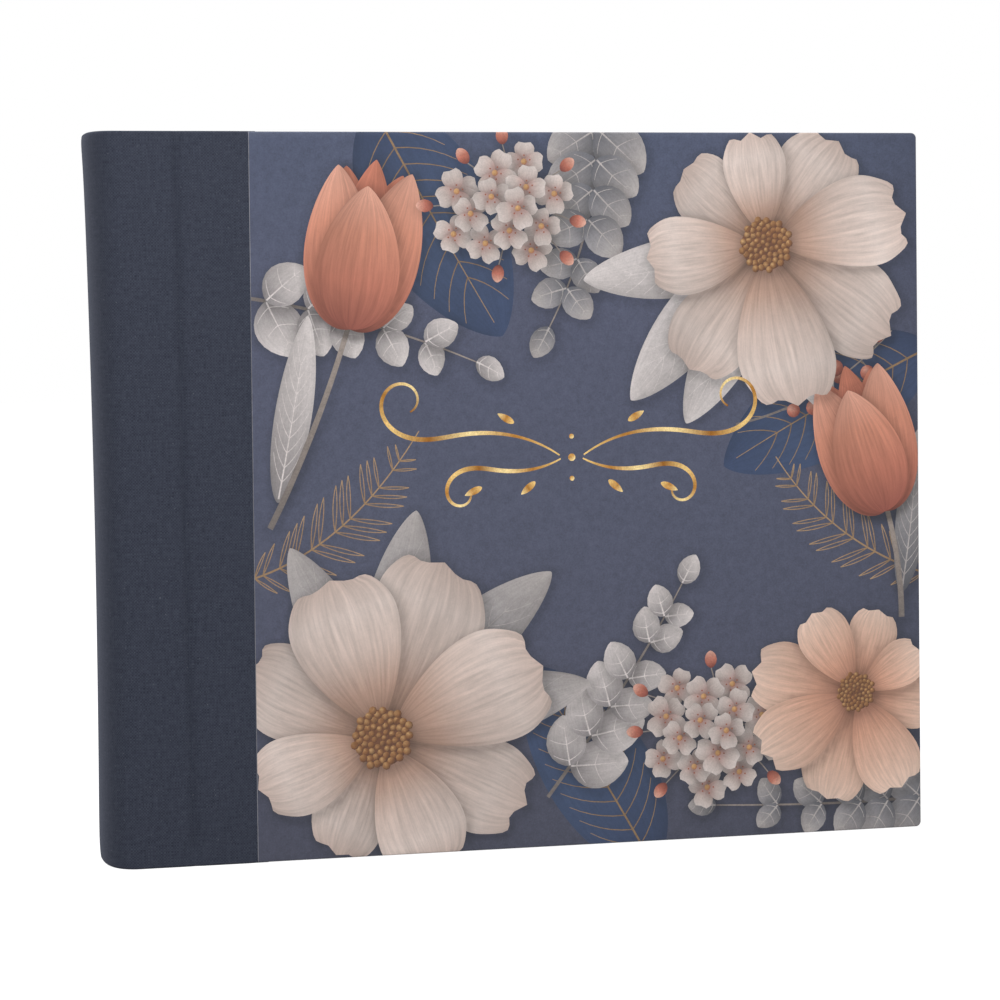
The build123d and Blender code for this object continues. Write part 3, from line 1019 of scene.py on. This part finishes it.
def floret(place, luck):
    """A small flower of four notched petals, with dots round a golden heart."""
    size = luck.uniform(4.6, 5.6)
    turn = luck.uniform(0, math.pi / 2)
    dim = luck.uniform(0.86, 1.0)
    shapes = []
    for quarter in range(4):
        shapes.append(
            petal(
                place,
                turn + quarter * math.pi / 2 + luck.uniform(-0.1, 0.1),
                size * luck.uniform(0.93, 1.07),
                0.95 * size,
                [tone * dim for tone in white_inks],
                swell=0.6,
                taper=0.34,
                notch=0.09,
                lobes=2,
                streak=0.3,
                cross_light=luck.uniform(-0.08, 0.08),
                casts=0.8,
            )
        )
    shapes.append(disc(place, 0.75, honey_inks, 8, casts=0.4))
    for dot in range(5):
        shapes.append(disc(place + toward(turn + dot * 2 * math.pi / 5, 1.5), 0.22, dot_inks, 6))
    return shapes


def florets(middle, spread, count, luck):
    """A round cluster of florets, with stalked buds at its edge."""
    middle = np.array(middle)
    buds = 7
    shapes = []
    for order in reversed(range(count + buds)):
        aim = golden_turn * order
        out = spread * math.sqrt((order + 0.4) / (count + 3))
        place = middle + toward(aim, out) * np.array([1, 0.8])
        if order < count:
            shapes += floret(place, luck)
        else:
            stalk = curve(middle, (middle + place) / 2 + 1.5, place, 8)
            shapes.append(stroke(stalk, [0.4, 0.3], stem_inks))
            shapes.append(petal(place, aim, 4.2, 3.0, berry_inks[::-1], 0.6, 0.6, casts=0.6))
    return shapes


def fern(path, pairs, reach):
    """A frond drawn in fine gold lines, two to each side leaf."""
    path = np.array(path)
    shapes = [stroke(path, [0.5, 0.25], gold_inks)]
    for pair in range(pairs):
        spot = int((0.06 + 0.9 * pair / pairs) * (len(path) - 1))
        way = path[spot + 1] - path[max(spot - 1, 0)]
        heading = math.atan2(way[1], way[0])
        length = reach * math.sin(math.pi * (0.16 + 0.82 * pair / pairs)) ** 0.7
        for side in (-1, 1):
            tip = path[spot] + toward(heading + 0.87 * side, length)
            for opening in (0.756, 1.071):
                bow = path[spot] + toward(heading + opening * side, 0.55 * length)
                shapes.append(stroke(curve(path[spot], bow, tip, 8), [0.26, 0.2], gold_inks))
    return shapes


def berries(path, count, luck):
    """A thin twig with round berries."""
    path = np.array(path)
    shapes = [stroke(path, [0.6, 0.3], stem_inks)]
    for order in range(count):
        spot = path[int((0.3 + 0.7 * order / count) * (len(path) - 1))]
        place = spot + toward(2.3 * order, 3.4)
        shapes.append(stroke(curve(spot, (spot + place) / 2 + 0.6, place, 6), [0.35, 0.3], stem_inks))
        shapes.append(disc(place, luck.uniform(1.5, 2.1), berry_inks, 14, casts=0.7))
    return shapes


def stem(start, control, stop):
    """The stalk of a tulip."""
    return [stroke(curve(start, control, stop), [1.5, 1.2], stem_inks, casts=0.6)]


def scroll(middle, width):
    """A symmetrical flourish of four spiral strokes with drops and dots, in gold foil with painted
    highlights.
    """
    middle = np.array(middle)
    shapes = []
    steps = 90
    share = np.linspace(0, 1, steps)
    for reach, lift, wind in ((1.0, 0.62, 5.4), (0.62, -0.5, -4.6)):
        bow = -0.16 * np.sin(math.pi * share) + 1.9 * np.clip(share - 0.35, 0, 1) ** 1.6
        heading = lift + wind * bow
        stride = reach * width * 0.98 / steps * (1 - 0.45 * share)
        run = np.cumsum(toward(heading, stride), axis=0)
        for flip in (-1, 1):
            path = middle + (run + np.array([2.2, 0])) * np.array([flip, 1])
            # Each foil stroke runs twice through light and dark stops: painted highlights.
            shapes.append(stroke(path, [0.35, 1.0, 1.15, 0.8, 0.45], foil_inks_and_highlights * 2, foil=1.0))
    for flip in (-1, 1):
        for out, up, aim in ((9.0, -5.6, -40), (14.0, 8.4, 30), (22.0, -6.6, -24)):
            place = middle + np.array([flip * out, up])
            drop_aim = math.radians(aim if flip > 0 else 180 - aim)
            shapes.append(petal(place, drop_aim, 4.6, 1.7, foil_inks_and_highlights[:3], 0.6, 0.8, foil=1.0))
    for up in (-5.0, 0.0, 5.0):
        # Foil dots, with a painted highlight towards the upper left.
        shapes.append(disc(middle + np.array([0, up]), 0.9 - 0.06 * abs(up), foil_inks_and_highlights[:3], 14, foil=1.0))
    return shapes


def front_design():
    """The front cover's print in millimetres from the seam, from its back to its front."""
    luck = random.Random(5)
    shapes = []
    shapes += shade_leaf((30, 176), math.radians(-62), 62, 30, luck)
    shapes += shade_leaf((168, 118), math.radians(205), 60, 26, luck)
    shapes += shade_leaf((96, -6), math.radians(118), 58, 26, luck)
    shapes += fern(curve((-2, 66), (22, 72), (40, 100)), 15, 11)
    shapes += fern(curve((168, 62), (142, 70), (128, 92)), 14, 10)
    shapes += sprig(curve((-4, 132), (26, 128), (54, 116)), 5, 14, grey_inks, luck)
    shapes += sprig(curve((84, 178), (86, 150), (72, 124)), 6, 15, grey_dark_inks, luck)
    shapes += sprig(curve((70, 12), (92, 40), (104, 62)), 6, 14, grey_inks, luck)
    shapes += sprig(curve((170, 8), (150, 6), (112, 8)), 5, 13, grey_dark_inks, luck)
    shapes += berries(curve((118, 100), (140, 104), (158, 122)), 7, luck)
    for aim, length in ((196, 46), (222, 50), (250, 47), (286, 44)):
        shapes += leaf((126, 143), math.radians(aim), length, 0.32 * length, grey_inks, luck, 8)
    for aim, length in ((14, 52), (48, 56), (84, 54), (112, 50)):
        shapes += leaf((30, 28), math.radians(aim), length, 0.3 * length, grey_dark_inks, luck, 8)
    shapes += leaf((6, 84), math.radians(78), 44, 9, grey_inks, luck, 9)
    shapes += stem((4, 78), (16, 100), (24, 126))
    shapes += tulip((24, 124), math.radians(80), 40, luck)
    shapes += leaf((160, 58), math.radians(80), 40, 8, grey_dark_inks, luck, 9)
    shapes += stem((160, 52), (160, 66), (156, 80))
    shapes += tulip((156, 78), math.radians(106), 37, luck)
    shapes += florets((62, 152), 17, 13, luck)
    shapes += florets((112, 26), 19, 16, luck)
    shapes += cosmos((126, 143), 37, 0.2, 2.2, cream_inks, luck)
    shapes += cosmos((148, 34), 27, 0.5, 0.8, blush_inks, luck)
    shapes += cosmos((30, 28), 41, 0.35, 4.0, cream_inks, luck)
    shapes += scroll((77, 93), 88)
    return shapes


def back_design():
    """The back cover's print: the same plants, fewer and in another order."""
    luck = random.Random(8)
    shapes = []
    shapes += shade_leaf((150, -6), math.radians(120), 60, 28, luck)
    shapes += shade_leaf((-4, 150), math.radians(-30), 56, 24, luck)
    shapes += fern(curve((168, 120), (140, 116), (120, 92)), 14, 11)
    shapes += sprig(curve((60, 176), (80, 150), (112, 142)), 6, 15, grey_inks, luck)
    shapes += sprig(curve((-2, 36), (30, 44), (52, 70)), 6, 14, grey_dark_inks, luck)
    shapes += berries(curve((86, 12), (96, 34), (92, 58)), 8, luck)
    shapes += stem((150, -6), (140, 20), (128, 44))
    shapes += tulip((129, 42), math.radians(108), 40, luck)
    shapes += florets((28, 128), 18, 14, luck)
    shapes += cosmos((132, 136), 34, 0.1, 3.0, blush_inks, luck)
    shapes += cosmos((34, 24), 38, 0.3, 1.0, cream_inks, luck)
    return shapes


print_finish, press = start_finish("printed_cover_paper")
ink_layer = press.node("ShaderNodeAttribute", {"attribute_name": "ink"}, {}, "Color")
foil_share = ink_layer.other("Alpha")
grain_layer = press.node("ShaderNodeAttribute", {"attribute_name": "grain"}, {}, "Vector")
streak_share = grain_layer.other("Alpha")
grain_along = press.node("ShaderNodeSeparateXYZ", {}, {0: grain_layer}, "X")
grain_across, grain_seed = grain_along.other("Y"), grain_along.other("Z")
brush_run = {0: 6.0 * grain_across + 37.0 * grain_seed, 1: 1.3 * grain_along, 2: 11.0 * grain_seed}
brush_place = press.node("ShaderNodeCombineXYZ", {}, brush_run)
brush_looks = {"Vector": brush_place, "Scale": 2.0, "Detail": 4.0, "Roughness": 0.6}
brush = press.node("ShaderNodeTexNoise", {}, brush_looks)
print_place = press.node("ShaderNodeTexCoord", output="Object")
print_tooth = noise(press, print_place, 2600.0, 2.0)
print_mottle = noise(press, print_place, 700.0, 3.0)
print_cloud = noise(press, print_place, 45.0, 3.0)
speckle = 0.6 * (print_tooth - 0.5) + 0.5 * (print_mottle - 0.5) + 0.14 * (print_cloud - 0.5)
strength = 1.0 + streak_share * (1.5 * brush - 0.75) + speckle * (1.0 - 1.4 * streak_share)
print_colour = press.node("ShaderNodeVectorMath", {"operation": "SCALE"}, {0: ink_layer, 3: strength})
principled(
    press,
    {
        "Base Color": print_colour,
        "Metallic": foil_share,
        "Roughness": 0.5 - 0.24 * foil_share,
        "Specular IOR Level": 0.35,
    },
)


near_margin = 4.0
deepest_shade = 0.35
seed_step = 0.618


def print_on(design, spots, corners, ground_with_painted_shade):
    """Ink and grain at the corners of a sheet's triangles, with the shapes laid one on another."""
    middles = spots[corners].mean(axis=1)
    owner = np.full(len(corners), -1)
    shade = np.ones(corners.shape)
    for order, shape in enumerate(design):
        least, most = shape.outline.min(axis=0), shape.outline.max(axis=0)
        near = ((middles > least - near_margin) & (middles < most + near_margin)).all(axis=1)
        near = np.where(near)[0]
        covered = near[inside(middles[near], shape.outline)]
        if shape.casts:
            beside = np.setdiff1d(near, covered)
            points, again = np.unique(corners[beside], return_inverse=True)
            shade[beside] *= shape.shadow(spots[points])[again].reshape(-1, 3)
        owner[covered] = order
        shade[covered] = 1.0
    ink = np.zeros((len(corners), 3, 4))
    grain = np.zeros((len(corners), 3, 4))
    ink[:, :, :3] = ground_with_painted_shade[corners]
    for order, shape in enumerate(design):
        mine = np.where(owner == order)[0]
        places = spots[corners[mine]].reshape(-1, 2)
        ink[mine] = shape.ink(places).reshape(-1, 3, 4)
        grain[mine] = shape.grain(places, (order * seed_step) % 1).reshape(-1, 3, 4)
    ink[:, :, :3] *= np.maximum(shade, deepest_shade)[:, :, None]
    return ink, grain


paper_thickness = 0.18
edge_round = 0.35
corner_round = 1.25
lip = 0.85
cut_slope, cut_drop, under_drop = 0.14, 0.16, 0.02
cut_grey = (0.24, 0.24, 0.27, 0)
lap_width, lap_fade, lap_ridge = 2.6, 3.0, 0.08
seam_lean, lean_fade = 0.9, 12.0
rim_step = 2.2
lattice, lattice_play = 1.5, 0.3
print_weld = 0.003
line_step, overrun = 2.0, 6.0
dark_from, dark_share = 0.7, 0.22
tuck = 1.2


def printed_cover(side, way, design):
    """The printed sheet of one cover: cut flat in millimetres from the seam, then wrapped."""
    low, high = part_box(side + "_cover_paper")
    right, bottom, top = (high.x - seam_x) / mm, low.z / mm, high.z / mm
    quarter = math.pi / 2 * edge_round
    flat_edge = corner_round - edge_round
    side_run = (high.y - low.y) / mm - 2 * edge_round
    arc = quarter * np.linspace(0, 1, 5)
    levels = list(flat_edge + arc)
    levels += [levels[-1] + side_run / 2, levels[-1] + side_run]
    levels += list(levels[-1] + arc[1:])
    levels += [levels[-1] + lip]
    inset_right, inset_low, inset_high = right - corner_round, bottom + corner_round, top - corner_round

    def ring(distance):
        """The path round the three turned edges, at a distance outside the inset rectangle."""
        runs = np.arange(0, inset_right, rim_step)
        rises = np.arange(inset_low + rim_step, inset_high - rim_step / 2, rim_step)
        path = [(run, inset_low - distance) for run in runs]
        path += rounded((inset_right, inset_low), distance, -90, 0, 7)
        path += [(inset_right + distance, rise) for rise in rises]
        path += rounded((inset_right, inset_high), distance, 0, 90, 7)
        return path + [(run, inset_high + distance) for run in runs[::-1]]

    luck = random.Random(3)
    spots = []
    for run in np.arange(1.2, inset_right, lattice):
        for rise in np.arange(inset_low + 0.4, inset_high, lattice):
            play = (luck.uniform(-lattice_play, lattice_play), luck.uniform(-lattice_play, lattice_play))
            spots.append((run + play[0], rise + play[1]))
    rises = np.arange(inset_low, inset_high, line_step)
    slope_line = [(cut_slope, rise) for rise in [bottom - overrun, *rises, top + overrun]]
    lap_line = [(lap_width, rise) for rise in rises]
    sheet_edge = ring(levels[-1])
    spots, faces = triangulate(
        [sheet_edge] + [shape.outline for shape in design],
        [ring(level) for level in levels[:-1]] + [slope_line, lap_line],
        spots,
        print_weld,
    )
    corners = np.array(faces)
    middles = spots[corners].mean(axis=1)
    nearest = np.clip(middles, [-np.inf, inset_low], [inset_right, inset_high])
    apart = np.linalg.norm(middles - nearest, axis=1)
    keep = (middles[:, 0] > 0) & (apart < levels[-1])
    doubtful = np.where(keep & (apart > levels[-1] - lip))[0]
    keep[doubtful] = inside(middles[doubtful], np.array(sheet_edge))
    used, corners = np.unique(corners[keep], return_inverse=True)
    spots, corners = spots[used], corners.reshape(-1, 3)

    # The ground darkens towards the foot, which is painted shade, and towards the fore-edge.
    to_fore_edge = np.clip((spots[:, 0] / right - dark_from) / (1 - dark_from), 0, 1)
    ground_with_painted_shade = blend_tones(ground_inks_with_foot_shade, spots[:, 1] / top) * (1 - dark_share * to_fore_edge**2)[:, None]
    ink, grain = print_on(design, spots, corners, ground_with_painted_shade)
    cut = spots[corners, 0].mean(axis=1) < cut_slope
    ink[cut] = cut_grey
    grain[cut] = 0

    def wrapped(sink):
        """The sheet's points in the book, on a surface that lies sink millimetres inside it."""
        pull = np.column_stack(
            [np.minimum(spots[:, 0], inset_right), np.clip(spots[:, 1], inset_low, inset_high)]
        )
        distance = np.linalg.norm(spots - pull, axis=1)
        aim = (spots - pull) / np.maximum(distance, 1e-9)[:, None]
        past = distance - flat_edge
        first = np.clip(past / edge_round, 0, math.pi / 2)
        down = np.clip(past - quarter, 0, side_run)
        second = np.clip((past - quarter - side_run) / edge_round, 0, math.pi / 2)
        back = np.clip(past - 2 * quarter - side_run, 0, None)
        tight = edge_round - sink
        turned = flat_edge + tight * np.where(second > 0, np.cos(second), np.sin(first)) - back
        out = np.where(past <= 0, distance, turned)
        depth = edge_round - tight * np.cos(first) + down + tight * np.sin(second)
        lapped = eased(1 - (spots[:, 0] - lap_width) / lap_fade)
        slope = np.clip(1 - spots[:, 0] / cut_slope, 0, 1)
        ridge = lap_ridge * lapped - (under_drop if sink else cut_drop) * slope
        depth = depth - ridge * (past <= 0)
        plan = pull + aim * out[:, None]
        plan[:, 0] += seam_lean * plan[:, 1] / top * np.clip(1 - plan[:, 0] / lean_fade, 0, 1)
        face = low.y if way > 0 else high.y
        return np.stack([seam_x + plan[:, 0] * mm, face + way * depth * mm, plan[:, 1] * mm], axis=1)

    cover_paper = thin_solid(
        side + "_printed_paper",
        wrapped(0),
        wrapped(paper_thickness),
        [tuple(face) for face in corners.tolist()],
        print_finish,
        {"ink": ink, "grain": grain},
    )
    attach(cover_paper, side + "_cover")
    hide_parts(side + "_cover_paper")

    end_low, end_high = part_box(side + "_endpaper")
    edge_x, edge_low, edge_high = high.x - tuck * mm, low.z + tuck * mm, high.z - tuck * mm
    outer = [(seam_x, edge_low), (edge_x, edge_low), (edge_x, edge_high), (seam_x, edge_high)]
    hole = [(seam_x, end_low.z), (end_high.x, end_low.z), (end_high.x, end_high.z), (seam_x, end_high.z)]
    faces = [(0, 1, 5, 4), (1, 2, 6, 5), (2, 3, 7, 6)]
    inner_y = high.y if way > 0 else low.y
    sheet_back = np.array([(x, inner_y, z) for x, z in outer + hole])
    sheet_front = sheet_back - np.array([0, way * paper_thickness * mm, 0])
    plain = np.empty((3, 4, 4))
    plain[:] = (*ground_inks_with_foot_shade[2], 0)
    plain_print = {"ink": plain, "grain": np.zeros((3, 4, 4))}
    turn_in = thin_solid(side + "_turn_in", sheet_back, sheet_front, faces, print_finish, plain_print)
    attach(turn_in, side + "_cover")
    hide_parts(side + "_cover_paper")


printed_cover("front", 1, front_design())
printed_cover("back", -1, back_design())

# Endpapers: plain blush paper, pasted inside the boards last of all. It covers the edge of
# the joint lining and meets the turn-ins of cloth and cover paper.
endpaper_finish, blush = start_finish("blush_endpaper")
blush_place = blush.node("ShaderNodeTexCoord", output="Object")
blush_shade = 0.6 * noise(blush, blush_place, 1400.0, 6.0) + 0.4 * noise(blush, blush_place, 90.0, 3.0)
blush_colour = ramp(blush, blush_shade, (0.3, (0.55, 0.41, 0.33, 1)), (0.7, (0.64, 0.50, 0.42, 1)))
principled(blush, {"Base Color": blush_colour, "Roughness": 0.85})
dress(["front_endpaper", "back_endpaper"], endpaper_finish)

bpy.context.view_layer.update()
